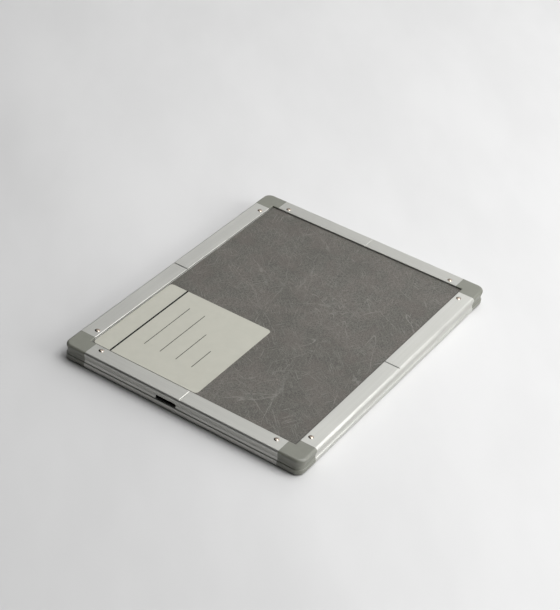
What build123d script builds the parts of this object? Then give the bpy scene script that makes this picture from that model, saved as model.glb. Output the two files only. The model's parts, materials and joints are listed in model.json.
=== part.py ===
from build123d import *
import os
from math import atan2, degrees, radians, tan

# X-ray film cassette for 18 x 24 cm film, closed and lying on its back, tube side up.
# Millimetres. Origin at the centre of the resting face, +X towards the hinge end,
# +Y towards the left side as seen from the latch end, +Z up through the tube side.

# ---- outer size ----
LENGTH = 265.0
WIDTH = 205.0
THICKNESS = 14.0
COVER_HEIGHT = 5.4  # rails of the back cover
PARTING_GAP = 0.2  # open line between back cover and front tray
RAIL_WIDTH = 14.0  # frame face, from the outer edge to the window
CORNER_REACH = 19.5  # corner piece, along each side
CORNER_RADIUS = 6.5  # upright edge of a corner piece

# ---- side profile ----
LIP_RADIUS = 2.1
LIP_DROP = 2.2  # widest line of the front tray, below the frame face
WAIST_INSET = 1.0
WAIST_RISE = 1.7  # waist of the front tray, above its lower edge
FOOT_INSET = 0.6
COVER_INSET = 0.1
COVER_BOTTOM_RADIUS = 2.5
COVER_TOP_RADIUS = 0.9
WINDOW_EDGE_RADIUS = 0.5

# ---- rail section, insets counted from the outer edge ----
FLANGE = 1.5  # flange of the front rails, over the panel
BACK_FLANGE = 1.2  # flange of the back rails, under the back panel
WEB = 1.2  # inner wall of a rail
PANEL_LAP = 1.2  # width of panel that the flange covers
CHAMBER_OUTER = 3.6  # hollow of a rail, its outer side
TRAY_FLOOR = 1.9  # lower wall of the front rails, under their hollow
COVER_ROOF = 1.6  # upper wall of the back rails, over their hollow
RIB_INSET = 10.2  # light rib of the back rails
RIB_WIDTH = 1.0
RIB_HEIGHT = 1.0
RIB_CLEARANCE = 0.35
SEAL_THICKNESS = 0.4
SEAL_GAP = 0.05  # from the light rib to the felt over it
MARK_WIDTH = 1.2  # centre mark, a V cut across a front rail
MARK_DEPTH = 0.45

# ---- corner legs and rivets ----
LEG_LENGTH = 22.0
LEG_FIT = 0.1
LEG_ROOT = 1.0  # a leg starts this far inside its corner piece
RIVET_FROM_END = 27.0
RIVET_INSET = 10.0
RIVET_HEAD_RADIUS = 2.0
RIVET_DOME = 0.7
RIVET_RADIUS = 1.0
RIVET_FIT = 0.05
RIVET_END_GAP = 1.5  # from the end of a front rivet to the floor of the rail's hollow

# ---- layers ----
PANEL = 1.4
COVERING = 0.4
COVERING_GAP = 0.4  # open line between the covering and the window edge
PANEL_FIT = 0.1
BACK_PANEL = 1.0
SCREEN = 1.0
SCREEN_GAP = 0.9  # from a screen's edge to the inner wall of the rails
FILM_SPACE = 0.3
LEAD_FOIL = 0.2
FOAM_MARGIN = 1.0  # foam stands back from the screen edge

# ---- label and its lead blocker ----
LABEL_LENGTH = 94.7
LABEL_WIDTH = 91.9
LABEL_RADIUS = 3.0
LABEL = 0.2
LABEL_GAP = 1.2  # open line between the label and the window edge
RULE_FROM_EDGE = 15.6
RULE_WIDTH = 1.35
WRITE_LINE_WIDTH = 0.5
WRITE_LINE_LENGTHS = (56.0, 56.0, 38.0, 24.0)
WRITE_LINE_PITCH = 14.0
WRITE_LINE_START = 22.0  # from the label's outer end
INK = 0.04
BLOCKER_LENGTH = 90.0
BLOCKER_WIDTH = 15.0
BLOCKER = 0.3

# ---- pin slot in the latch end of the front tray ----
SLOT_LENGTH = 17.4
SLOT_HEIGHT = 3.3  # above the tray's lower edge, where the slot is open
SLOT_RADIUS = 1.2  # upper corners
SLOT_Y = 11.2  # middle of the slot, from the centre line
SLOT_DEPTH = 5.0
LINER_WALL = 0.7
LINER_SETBACK = 1.2
LINER_RISE = 0.1  # liner, above the tray's lower edge

# ---- hinges ----
HINGE_LENGTH = 44.0
HINGE_TO_LEG = 1.0  # from a hinge's outer end to the end of the corner leg
BARREL_RADIUS = 1.6
BARREL_CLEARANCE = 0.25
PIN_RADIUS = 0.8
PIN_RUNNING_FIT = 0.05
PIN_FIXED_FIT = 0.02
PIN_HEAD = 0.5
PIN_HEAD_RADIUS = 1.3
KNUCKLES = 5
KNUCKLE_GAP = 0.25
LEAF = 0.8
LEAF_INSET = 9.4  # inner edge of a hinge leaf
MORTISE_FIT = 0.05
HALF_SWING = 52.0  # each rail is cut back to half of the swing, and a little more
HINGE_RIVET_FROM_END = 6.0
HINGE_RIVET_SHIFT = 4.0  # rivets of the two leaves stand beside each other
HINGE_RIVET_INSET = 6.2
SMALL_RIVET_RADIUS = 0.8
SMALL_RIVET_HEAD_RADIUS = 1.5
SMALL_RIVET_HEAD = 0.5

# ---- latches ----
LATCH_TRAVEL = 4.5
BOLT = 1.2
BOLT_TAIL_LENGTH = 16.0  # from the middle of the thumb slide to the bolt's tail
BOLT_SIDE_FIT = 0.2
BOLT_TOP_FIT = 0.15
BOLT_TIP_CHAMFER = 0.5
KEEPER_TO_LEG = 4.4  # from a keeper to the end of the corner leg
KEEPER_GAUGE = 0.8
KEEPER_FOOT = 6.0
KEEPER_FLANGE = 13.0
KEEPER_WIDTH = 4.8
KEEPER_INSET = 4.2  # outer side of a keeper
KEEPER_SLOT_FIT = 0.4
KEEPER_FLOOR_GAP = 0.15
KEEPER_RELEASE_GAP = 0.8  # from a drawn-back bolt to the keeper's foot
KEEPER_RIVETS = (4.8, 10.4)  # from the outer face of the leg
THUMB_TO_SPRING = 12.0
THUMB_LENGTH = 13.5
THUMB_WIDTH = 4.6
THUMB_RECESS = 0.3  # face of the thumb slide, above the resting face
THUMB_SHOE_LENGTH = 18.0
THUMB_FLOOR_GAP = 0.05
THUMB_SLOT_FIT = 0.4
THUMB_GROOVES = 4
THUMB_GROOVE_WIDTH = 1.2
THUMB_GROOVE_DEPTH = 0.45
THUMB_RIVET_SPACING = 13.0
SPRING_TO_TIP = 7.8
SPRING_LENGTH = 11.6
SPRING_BOW = 1.05
SPRING_GAUGE = 0.25
SPRING_HEIGHT = 0.9
SPRING_POCKET_LENGTH = 12.4
SPRING_WALL_GAP = 0.05

OVERCUT = 1.0  # cutters reach this far past the faces they cut

# ---- heights and insets that follow from the sizes above ----
TRAY_BASE = COVER_HEIGHT + PARTING_GAP
PARTING_Z = COVER_HEIGHT + PARTING_GAP / 2
FLANGE_UNDER = THICKNESS - FLANGE
POCKET_INSET = RAIL_WIDTH - PANEL_LAP
CHAMBER_INNER = POCKET_INSET - WEB
TRAY_CHAMBER = (TRAY_BASE + TRAY_FLOOR, FLANGE_UNDER)
COVER_CHAMBER = (BACK_FLANGE, COVER_HEIGHT - COVER_ROOF)
PANEL_UNDER = FLANGE_UNDER - PANEL
FRONT_SCREEN_UNDER = PANEL_UNDER - SCREEN
BACK_SCREEN_TOP = FRONT_SCREEN_UNDER - FILM_SPACE
BACK_PANEL_TOP = BACK_FLANGE + BACK_PANEL
FOAM_BASE = BACK_PANEL_TOP + LEAD_FOIL
FOAM_TOP = BACK_SCREEN_TOP - SCREEN
HINGE_X = LENGTH / 2 - BARREL_RADIUS
LEAF_EDGE_X = LENGTH / 2 - LEAF_INSET
KEEPER_FOOT_TOP = BACK_FLANGE + KEEPER_FLOOR_GAP + KEEPER_GAUGE
GROOVE_ROOF = COVER_HEIGHT + RIB_HEIGHT + SEAL_GAP + SEAL_THICKNESS
BOLT_TOP = COVER_CHAMBER[1] - BOLT_TOP_FIT
RIVET_END_Z = TRAY_CHAMBER[0] + RIVET_END_GAP
LEG_END_Y = WIDTH / 2 - CORNER_REACH - LEG_LENGTH
HINGE_Y = LEG_END_Y - HINGE_TO_LEG - HINGE_LENGTH / 2
HINGE_RIVET_REACH = HINGE_LENGTH / 2 - HINGE_RIVET_FROM_END
KEEPER_Y = LEG_END_Y - KEEPER_TO_LEG  # outer face of a keeper's leg
BOLT_TIP_Y = KEEPER_Y - KEEPER_FOOT - KEEPER_RELEASE_GAP
SPRING_Y = BOLT_TIP_Y - SPRING_TO_TIP
THUMB_Y = SPRING_Y - THUMB_TO_SPRING
BOLT_TAIL_Y = THUMB_Y - BOLT_TAIL_LENGTH
CHAMBER_MIDDLE = (CHAMBER_OUTER + CHAMBER_INNER) / 2
SLIDE_INSETS = (CHAMBER_OUTER + BOLT_SIDE_FIT, CHAMBER_INNER - BOLT_SIDE_FIT)
SCREEN_INSET = POCKET_INSET + SCREEN_GAP
SPRING_SEAT = CHAMBER_INNER - SPRING_WALL_GAP - SPRING_BOW - SPRING_GAUGE  # floor of the spring's pocket
WHOLE_HEIGHT = (-OVERCUT, THICKNESS + OVERCUT)
RAIL_RUN_X = (-LENGTH / 2, LENGTH / 2)  # hollows are cut right through a rail's ends
RAIL_RUN_Y = (-WIDTH / 2, WIDTH / 2)

ENDS = {"latch": -1, "hinge": 1}
SIDES = {"left": 1, "right": -1}


# ---- shared shapes ----
def block(x, y, z):
    """Box between two values on each axis, in any order."""
    spans = [sorted(span) for span in (x, y, z)]
    size = [high - low for low, high in spans]
    middle = [(low + high) / 2 for low, high in spans]
    return Pos(*middle) * Box(*size)


def inset_box(inset, z):
    """Box over the whole cassette, drawn in from its outer edges."""
    return block((inset - LENGTH / 2, LENGTH / 2 - inset), (inset - WIDTH / 2, WIDTH / 2 - inset), z)


def inset_ring(outer, inner, z):
    """Rectangular ring between two insets."""
    return inset_box(outer, z) - inset_box(inner, z)


def outline(inset, z):
    """Rounded outline of the cassette at one height."""
    sketch = RectangleRounded(LENGTH - 2 * inset, WIDTH - 2 * inset, CORNER_RADIUS - inset)
    return Plane.XY.offset(z) * sketch


def drafted(inset_low, inset_high, z_low, z_high):
    """Slab between two heights whose sides lean from one inset to the other."""
    height = z_high - z_low
    lean = degrees(atan2(inset_high - inset_low, height))
    return extrude(outline(inset_low, z_low), height, taper=lean)


def disc(radius, x, y, z):
    """Upright cylinder between two heights."""
    low, high = sorted(z)
    return Pos(x, y, (low + high) / 2) * Cylinder(radius, high - low)


def cone(radius_low, radius_high, x, y, z):
    """Upright cone frustum between two heights."""
    low, high = sorted(z)
    return Pos(x, y, (low + high) / 2) * Cone(radius_low, radius_high, high - low)


def bar_along_y(radius, x, z, y):
    """Cylinder along Y between two values of y."""
    low, high = sorted(y)
    return Pos(x, (low + high) / 2, z) * Rot(90, 0, 0) * Cylinder(radius, high - low)


def corner_box(end, side):
    """Region that a corner piece takes out of the frame."""
    x = (ENDS[end] * (LENGTH / 2 - CORNER_REACH), ENDS[end] * LENGTH)
    y = (SIDES[side] * (WIDTH / 2 - CORNER_REACH), SIDES[side] * WIDTH)
    return block(x, y, WHOLE_HEIGHT)


def long_rail_box(side):
    """Region that a rail along X takes out of the frame."""
    reach = LENGTH / 2 - CORNER_REACH
    return block((-reach, reach), (0, SIDES[side] * WIDTH), WHOLE_HEIGHT)


def short_rail_box(end):
    """Region that a rail along Y takes out of the frame."""
    reach = WIDTH / 2 - CORNER_REACH
    return block((0, ENDS[end] * LENGTH), (-reach, reach), WHOLE_HEIGHT)


def long_bar(side, outer, inner, z, reach_x):
    """Bar along X beside one long edge, between two insets."""
    edge = WIDTH / 2
    return block(reach_x, (SIDES[side] * (edge - outer), SIDES[side] * (edge - inner)), z)


def short_bar(end, outer, inner, z, reach_y):
    """Bar along Y beside one short edge, between two insets."""
    edge = LENGTH / 2
    return block((ENDS[end] * (edge - outer), ENDS[end] * (edge - inner)), reach_y, z)


def rivet_places(end, side):
    """The two rivet positions beside one corner: on the long rail, then on the short rail."""
    on_long = (ENDS[end] * (LENGTH / 2 - RIVET_FROM_END), SIDES[side] * (WIDTH / 2 - RIVET_INSET))
    on_short = (ENDS[end] * (LENGTH / 2 - RIVET_INSET), SIDES[side] * (WIDTH / 2 - RIVET_FROM_END))
    return on_long, on_short


ALL_RIVET_PLACES = [place for end in ENDS for side in SIDES for place in rivet_places(end, side)]


# ---- hinge cuts shared by the frames ----
def swing_wedge(up):
    """Wedge cleared beyond the hinge axis for the swing; up is 1 for the tray, -1 for the cover."""
    reach = BARREL_RADIUS + OVERCUT
    rise = reach * tan(radians(HALF_SWING))
    points = [(HINGE_X, PARTING_Z), (HINGE_X + reach, PARTING_Z), (HINGE_X + reach, PARTING_Z + up * rise)]
    face = make_face(Polyline(*points, close=True))
    upright = Plane((0, WIDTH, 0), x_dir=(1, 0, 0), z_dir=(0, -1, 0))
    return extrude(upright * face, 2 * WIDTH)


def barrel_recess(side):
    """Round recess in both hinge rails for the knuckles and pin heads of one hinge."""
    reach = HINGE_LENGTH / 2 + PIN_HEAD + BARREL_CLEARANCE
    middle = SIDES[side] * HINGE_Y
    return bar_along_y(BARREL_RADIUS + BARREL_CLEARANCE, HINGE_X, PARTING_Z, (middle - reach, middle + reach))


def leaf_mortise(side, up):
    """Shallow recess for one hinge leaf."""
    reach = HINGE_LENGTH / 2 + MORTISE_FIT
    middle = SIDES[side] * HINGE_Y
    face = TRAY_BASE if up > 0 else COVER_HEIGHT
    depth = (face - up * PARTING_GAP, face + up * (LEAF + MORTISE_FIT))
    return block((LEAF_EDGE_X - MORTISE_FIT, HINGE_X), (middle - reach, middle + reach), depth)


# ---- keeper places ----
def keeper_span(near, far, side):
    """Two values of y, counted inwards from the outer face of a keeper's leg."""
    return SIDES[side] * (KEEPER_Y - near), SIDES[side] * (KEEPER_Y - far)


# ---- front tray ----
def front_frame():
    """Whole front frame before it is parted into rails and corners."""
    waist_z = TRAY_BASE + WAIST_RISE
    lip_z = THICKNESS - LIP_DROP
    cap = extrude(outline(0, lip_z), LIP_DROP)
    cap = fillet(cap.faces().sort_by(Axis.Z)[-1].edges(), LIP_RADIUS)
    foot = drafted(FOOT_INSET, WAIST_INSET, TRAY_BASE, waist_z)
    frame = foot + drafted(WAIST_INSET, 0, waist_z, lip_z) + cap
    frame -= inset_box(POCKET_INSET, (TRAY_BASE - OVERCUT, FLANGE_UNDER))
    frame -= inset_box(RAIL_WIDTH, (TRAY_BASE - OVERCUT, THICKNESS + OVERCUT))
    frame -= groove_ring((TRAY_BASE - OVERCUT, GROOVE_ROOF))
    frame_face = frame.faces().sort_by(Axis.Z)[-1]
    frame = fillet(frame_face.inner_wires()[0].edges(), WINDOW_EDGE_RADIUS)
    return frame - swing_wedge(1)


def groove_ring(z):
    """Ring in which the light rib of the back cover stands."""
    outer = RIB_INSET - RIB_CLEARANCE
    inner = RIB_INSET + RIB_WIDTH + RIB_CLEARANCE
    return inset_ring(outer, inner, z)


def front_rivet_holes():
    """Holes for the front rivets, through the flange and into the corner legs."""
    depth = (RIVET_END_Z - RIVET_FIT, THICKNESS + OVERCUT)
    return [disc(RIVET_RADIUS + RIVET_FIT, x, y, depth) for x, y in ALL_RIVET_PLACES]


def pin_slot(grow, depth, start, foot):
    """Slot with rounded upper corners between two depths; foot is its start above the tray's lower edge."""
    half_width = SLOT_LENGTH / 2 + grow
    x = (start - LENGTH / 2, depth - LENGTH / 2)
    y = (SLOT_Y - half_width, SLOT_Y + half_width)
    body = block(x, y, (TRAY_BASE + foot, TRAY_BASE + SLOT_HEIGHT + grow))
    return fillet(body.edges().filter_by(Axis.X).group_by(Axis.Z)[-1], SLOT_RADIUS + grow)


def centre_marks():
    """V cuts across the middle of the long rails and of the short rails."""
    brim = THICKNESS + MARK_DEPTH
    points = [(-MARK_WIDTH, brim), (MARK_WIDTH, brim), (0, THICKNESS - MARK_DEPTH)]
    face = make_face(Polyline(*points, close=True))
    along_y = Plane((0, WIDTH, 0), x_dir=(1, 0, 0), z_dir=(0, -1, 0))
    along_x = Plane((-LENGTH, 0, 0), x_dir=(0, 1, 0), z_dir=(1, 0, 0))
    return extrude(along_y * face, 2 * WIDTH), extrude(along_x * face, 2 * LENGTH)


def front_rails(frame):
    """The four front rails with their hollows, centre marks, holes and recesses."""
    holes = front_rivet_holes()
    rails = {}
    long_mark, short_mark = centre_marks()
    for side in SIDES:
        rail = frame & long_rail_box(side)
        rail -= long_bar(side, CHAMBER_OUTER, CHAMBER_INNER, TRAY_CHAMBER, RAIL_RUN_X)
        rails[f"front_rail_{side}"] = rail - long_mark - holes
    for end in ENDS:
        rail = frame & short_rail_box(end)
        rail -= short_bar(end, CHAMBER_OUTER, CHAMBER_INNER, TRAY_CHAMBER, RAIL_RUN_Y)
        rails[f"front_rail_{end}_end"] = rail - short_mark - holes
    rails["front_rail_latch_end"] -= pin_slot(0, SLOT_DEPTH, -OVERCUT, -OVERCUT)
    for side in SIDES:
        mortise_y = keeper_span(-MORTISE_FIT, KEEPER_FLANGE + MORTISE_FIT, side)
        mortise_z = (TRAY_BASE - OVERCUT, TRAY_BASE + KEEPER_GAUGE + MORTISE_FIT)
        mortise = short_bar("latch", KEEPER_INSET - MORTISE_FIT, KEEPER_INSET + KEEPER_WIDTH + MORTISE_FIT,
                            mortise_z, mortise_y)
        floor_z = (TRAY_BASE, TRAY_CHAMBER[0] + SMALL_RIVET_HEAD)
        rails["front_rail_latch_end"] -= [mortise] + small_rivet_holes(keeper_rivet_places(side), floor_z)
        leaf_holes = small_rivet_holes(hinge_rivet_places(side, 1), floor_z)
        rails["front_rail_hinge_end"] -= [barrel_recess(side), leaf_mortise(side, 1)] + leaf_holes
    return rails


def corner_legs(end, side, chamber):
    """The two legs of a corner piece, which fit the hollows of its rails."""
    outer, inner = CHAMBER_OUTER + LEG_FIT, CHAMBER_INNER - LEG_FIT
    z = (chamber[0] + LEG_FIT, chamber[1] - LEG_FIT)
    root = CORNER_REACH - LEG_ROOT
    tip = CORNER_REACH + LEG_LENGTH
    along_x = (ENDS[end] * (LENGTH / 2 - root), ENDS[end] * (LENGTH / 2 - tip))
    along_y = (SIDES[side] * (WIDTH / 2 - root), SIDES[side] * (WIDTH / 2 - tip))
    return long_bar(side, outer, inner, z, along_x) + short_bar(end, outer, inner, z, along_y)


def front_corners(frame):
    """The four front corner pieces, with legs and rivet holes."""
    corners = {}
    for end in ENDS:
        for side in SIDES:
            corner = (frame & corner_box(end, side)) + corner_legs(end, side, TRAY_CHAMBER)
            corners[f"front_corner_{end}_{side}"] = corner - front_rivet_holes()
    return corners


def front_rivets():
    """Dome rivets that hold the front rails to the corner legs."""
    sphere_radius = (RIVET_HEAD_RADIUS**2 + RIVET_DOME**2) / (2 * RIVET_DOME)
    rivets = []
    for x, y in ALL_RIVET_PLACES:
        ball = Pos(x, y, THICKNESS + RIVET_DOME - sphere_radius) * Sphere(sphere_radius)
        dome = ball & disc(2 * RIVET_HEAD_RADIUS, x, y, (THICKNESS, THICKNESS + 2 * RIVET_DOME))
        rivets.append(dome + disc(RIVET_RADIUS, x, y, (RIVET_END_Z, THICKNESS)))
    return rivets


def label_plate():
    """Thin label in one corner of the window, on the covering."""
    inset = RAIL_WIDTH + LABEL_GAP
    x = inset - LENGTH / 2 + LABEL_LENGTH / 2
    y = WIDTH / 2 - inset - LABEL_WIDTH / 2
    sketch = RectangleRounded(LABEL_LENGTH, LABEL_WIDTH, LABEL_RADIUS)
    return extrude(Plane.XY.offset(FLANGE_UNDER + COVERING) * Pos(x, y) * sketch, LABEL)


def label_print():
    """Inked lines on the label: one long rule and blank lines to write on."""
    inset = RAIL_WIDTH + LABEL_GAP
    low = FLANGE_UNDER + COVERING + LABEL
    z = (low, low + INK)
    x_start = inset - LENGTH / 2
    y_top = WIDTH / 2 - inset
    rule_y = y_top - RULE_FROM_EDGE
    lines = [block((x_start, x_start + LABEL_LENGTH), (rule_y - RULE_WIDTH / 2, rule_y + RULE_WIDTH / 2), z)]
    for row, length in enumerate(WRITE_LINE_LENGTHS):
        y = rule_y - (row + 1) * WRITE_LINE_PITCH
        x = x_start + WRITE_LINE_START
        lines.append(block((x, x + length), (y - WRITE_LINE_WIDTH / 2, y + WRITE_LINE_WIDTH / 2), z))
    return lines


def front_layers():
    """Panel, covering, label, lead blocker and front screen."""
    inset = RAIL_WIDTH + COVERING_GAP
    blocker_x = (inset - LENGTH / 2, inset - LENGTH / 2 + BLOCKER_LENGTH)
    blocker_y = (WIDTH / 2 - inset - BLOCKER_WIDTH, WIDTH / 2 - inset)
    blocker_z = (FLANGE_UNDER - BLOCKER, FLANGE_UNDER)
    return {
        "front_panel": inset_box(POCKET_INSET + PANEL_FIT, (PANEL_UNDER, FLANGE_UNDER))
        - block(blocker_x, blocker_y, blocker_z),
        "front_covering": inset_box(inset, (FLANGE_UNDER, FLANGE_UNDER + COVERING)),
        "label_plate": label_plate(),
        "label_print": label_print(),
        "lead_blocker": block(blocker_x, blocker_y, blocker_z),
        "front_screen": inset_box(SCREEN_INSET, (FRONT_SCREEN_UNDER, PANEL_UNDER)),
    }


def light_seals():
    """Felt strips in the roof of the groove, over the light rib, one to a side."""
    z = (GROOVE_ROOF - SEAL_THICKNESS, GROOVE_ROOF)
    ring = groove_ring(z)
    reach_y = WIDTH / 2 - RIB_INSET - RIB_WIDTH - RIB_CLEARANCE
    seals = {}
    for side in SIDES:
        beside = block(RAIL_RUN_X, (SIDES[side] * reach_y, SIDES[side] * WIDTH), z)
        seals[f"light_seal_{side}"] = ring & beside
    for end in ENDS:
        seals[f"light_seal_{end}_end"] = ring & block((0, ENDS[end] * LENGTH), (-reach_y, reach_y), z)
    return seals


def slot_liner():
    """Black cup that lines the pin slot."""
    cup = pin_slot(0, SLOT_DEPTH, LINER_SETBACK, LINER_RISE)
    return cup - pin_slot(-LINER_WALL, SLOT_DEPTH - LINER_WALL, 0, LINER_RISE + LINER_WALL)


# ---- small rivets ----
def small_rivet_holes(places, z):
    """Clearance holes for small rivets, between two heights."""
    return [disc(SMALL_RIVET_RADIUS + RIVET_FIT, x, y, z) for x, y in places]


# ---- keepers on the front tray ----
def keeper_rivet_places(side):
    """Centres of the two rivets of one keeper."""
    x = KEEPER_INSET + KEEPER_WIDTH / 2 - LENGTH / 2
    return [(x, SIDES[side] * (KEEPER_Y - distance)) for distance in KEEPER_RIVETS]


def keeper(side):
    """Bent steel hook: flange under the front rail, leg, and foot inside the back rail."""
    x = (KEEPER_INSET, KEEPER_INSET + KEEPER_WIDTH)
    flange_z = (TRAY_BASE, TRAY_BASE + KEEPER_GAUGE)
    foot_z = (KEEPER_FOOT_TOP - KEEPER_GAUGE, KEEPER_FOOT_TOP)
    flange = short_bar("latch", *x, flange_z, keeper_span(0, KEEPER_FLANGE, side))
    leg = short_bar("latch", *x, (foot_z[0], flange_z[1]), keeper_span(0, KEEPER_GAUGE, side))
    foot = short_bar("latch", *x, foot_z, keeper_span(0, KEEPER_FOOT, side))
    return flange + leg + foot - small_rivet_holes(keeper_rivet_places(side), flange_z)


def tray_rivet(x, y):
    """Rivet through the lower wall of a front rail, flush below, headed inside the hollow."""
    top = TRAY_CHAMBER[0]
    return disc(SMALL_RIVET_RADIUS, x, y, (TRAY_BASE, top + SMALL_RIVET_HEAD)) \
        + disc(SMALL_RIVET_HEAD_RADIUS, x, y, (top, top + SMALL_RIVET_HEAD))


# ---- hinges ----
def hinge_rivet_places(side, up):
    """Centres of the rivets of one leaf; the two leaves' rivets are shifted apart."""
    x = LENGTH / 2 - HINGE_RIVET_INSET
    middle = SIDES[side] * HINGE_Y + up * HINGE_RIVET_SHIFT / 2
    return [(x, middle + way * HINGE_RIVET_REACH) for way in (-1, 0, 1)]


def knuckle_span(side, index):
    """Ends of one knuckle along Y."""
    pitch = HINGE_LENGTH / KNUCKLES
    start = SIDES[side] * HINGE_Y - HINGE_LENGTH / 2 + index * pitch
    return start + KNUCKLE_GAP / 2, start + pitch - KNUCKLE_GAP / 2


def hinge_leaf(side, up):
    """Leaf with its knuckles; the cover's leaf has the first, third and fifth."""
    face = TRAY_BASE if up > 0 else COVER_HEIGHT
    z = (face, face + up * LEAF)
    middle = SIDES[side] * HINGE_Y
    own = [index for index in range(KNUCKLES) if (index % 2 == 0) == (up < 0)]
    bore = PIN_RADIUS + (PIN_RUNNING_FIT if up > 0 else PIN_FIXED_FIT)
    root_x = HINGE_X - BARREL_RADIUS - BARREL_CLEARANCE
    leaf = block((LEAF_EDGE_X, root_x), (middle - HINGE_LENGTH / 2, middle + HINGE_LENGTH / 2), z)
    for index in own:
        span = knuckle_span(side, index)
        leaf += block((LEAF_EDGE_X, HINGE_X), span, z)
        leaf += bar_along_y(BARREL_RADIUS, HINGE_X, PARTING_Z, span)
    leaf -= bar_along_y(bore, HINGE_X, PARTING_Z, (middle - HINGE_LENGTH, middle + HINGE_LENGTH))
    return leaf - small_rivet_holes(hinge_rivet_places(side, up), z)


def hinge_pin(side):
    """Hinge pin with a low head at each end."""
    middle = SIDES[side] * HINGE_Y
    half = HINGE_LENGTH / 2
    reach = half + PIN_HEAD / 2
    pin = bar_along_y(PIN_RADIUS, HINGE_X, PARTING_Z, (middle - reach, middle + reach))
    for way in (-1, 1):
        end = middle + way * half
        pin += bar_along_y(PIN_HEAD_RADIUS, HINGE_X, PARTING_Z, (end, end + way * PIN_HEAD))
    return pin


def cover_rivet(x, y):
    """Rivet through the upper wall of a back rail, flush above, headed inside the hollow."""
    low = COVER_CHAMBER[1]
    return disc(SMALL_RIVET_RADIUS, x, y, (low - SMALL_RIVET_HEAD, COVER_HEIGHT)) \
        + disc(SMALL_RIVET_HEAD_RADIUS, x, y, (low - SMALL_RIVET_HEAD, low))


# ---- back cover ----
def back_frame():
    """Whole back frame before it is parted into rails and corners."""
    frame = extrude(outline(COVER_INSET, 0), COVER_HEIGHT)
    frame = fillet(frame.faces().sort_by(Axis.Z)[0].edges(), COVER_BOTTOM_RADIUS)
    frame = fillet(frame.faces().sort_by(Axis.Z)[-1].edges(), COVER_TOP_RADIUS)
    frame -= inset_box(POCKET_INSET, (BACK_FLANGE, COVER_HEIGHT + OVERCUT))
    frame -= inset_box(RAIL_WIDTH, (-OVERCUT, COVER_HEIGHT + OVERCUT))
    frame += inset_ring(RIB_INSET, RIB_INSET + RIB_WIDTH, (COVER_CHAMBER[1], COVER_HEIGHT + RIB_HEIGHT))
    return frame - swing_wedge(-1)


def back_rivet_holes():
    """Countersunk holes for the back rivets, from below into the corner legs."""
    sink = RIVET_HEAD_RADIUS - RIVET_RADIUS
    cuts = []
    for x, y in ALL_RIVET_PLACES:
        cuts.append(disc(RIVET_RADIUS + RIVET_FIT, x, y, (0, COVER_CHAMBER[1])))
        cuts.append(cone(RIVET_HEAD_RADIUS + RIVET_FIT, RIVET_RADIUS + RIVET_FIT, x, y, (0, sink)))
    return cuts


def back_rivets():
    """Flush rivets that hold the back rails to the corner legs."""
    sink = RIVET_HEAD_RADIUS - RIVET_RADIUS
    top = COVER_CHAMBER[1]
    return [cone(RIVET_HEAD_RADIUS, RIVET_RADIUS, x, y, (0, sink)) + disc(RIVET_RADIUS, x, y, (sink, top))
            for x, y in ALL_RIVET_PLACES]


def thumb_slot(side):
    """Slot in the lower wall of the latch rail, as long as the thumb slide and its travel."""
    half_width = THUMB_WIDTH / 2 + THUMB_SLOT_FIT
    near = THUMB_Y - THUMB_LENGTH / 2 - THUMB_SLOT_FIT
    far = THUMB_Y + THUMB_LENGTH / 2 + THUMB_SLOT_FIT + LATCH_TRAVEL
    return short_bar("latch", CHAMBER_MIDDLE - half_width, CHAMBER_MIDDLE + half_width, (0, BACK_FLANGE),
                     (SIDES[side] * near, SIDES[side] * far))


def keeper_slot(side):
    """Slot in the upper wall of the latch rail for a keeper."""
    fit = KEEPER_SLOT_FIT
    return short_bar("latch", KEEPER_INSET - fit, KEEPER_INSET + KEEPER_WIDTH + fit,
                     (COVER_CHAMBER[1], COVER_HEIGHT), keeper_span(-fit, KEEPER_FOOT + fit, side))


def back_rails(frame):
    """The four back rails with their hollows, holes, slots and recesses."""
    holes = back_rivet_holes()
    rails = {}
    for side in SIDES:
        rail = frame & long_rail_box(side)
        rail -= long_bar(side, CHAMBER_OUTER, CHAMBER_INNER, COVER_CHAMBER, RAIL_RUN_X)
        rails[f"back_rail_{side}"] = rail - holes
    for end in ENDS:
        rail = frame & short_rail_box(end)
        rail -= short_bar(end, CHAMBER_OUTER, CHAMBER_INNER, COVER_CHAMBER, RAIL_RUN_Y)
        rails[f"back_rail_{end}_end"] = rail - holes
    for side in SIDES:
        leaf_holes = small_rivet_holes(hinge_rivet_places(side, -1), (COVER_CHAMBER[1], COVER_HEIGHT))
        rails["back_rail_hinge_end"] -= [barrel_recess(side), leaf_mortise(side, -1)] + leaf_holes
        rails["back_rail_latch_end"] -= [thumb_slot(side), keeper_slot(side)]
    return rails


def back_corners(frame):
    """The four back corner pieces, with legs and rivet holes."""
    corners = {}
    for end in ENDS:
        for side in SIDES:
            corner = (frame & corner_box(end, side)) + corner_legs(end, side, COVER_CHAMBER)
            corners[f"back_corner_{end}_{side}"] = corner - back_rivet_holes()
    return corners


def back_layers():
    """Back covering, panel, lead foil, foam and back screen."""
    return {
        "back_covering": inset_box(RAIL_WIDTH + COVERING_GAP, (BACK_FLANGE - COVERING, BACK_FLANGE)),
        "back_panel": inset_box(POCKET_INSET + PANEL_FIT, (BACK_FLANGE, BACK_PANEL_TOP)),
        "lead_foil": inset_box(POCKET_INSET + PANEL_FIT, (BACK_PANEL_TOP, FOAM_BASE)),
        "foam_pad": inset_box(SCREEN_INSET + FOAM_MARGIN, (FOAM_BASE, FOAM_TOP)),
        "back_screen": inset_box(SCREEN_INSET, (FOAM_TOP, BACK_SCREEN_TOP)),
    }


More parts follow.
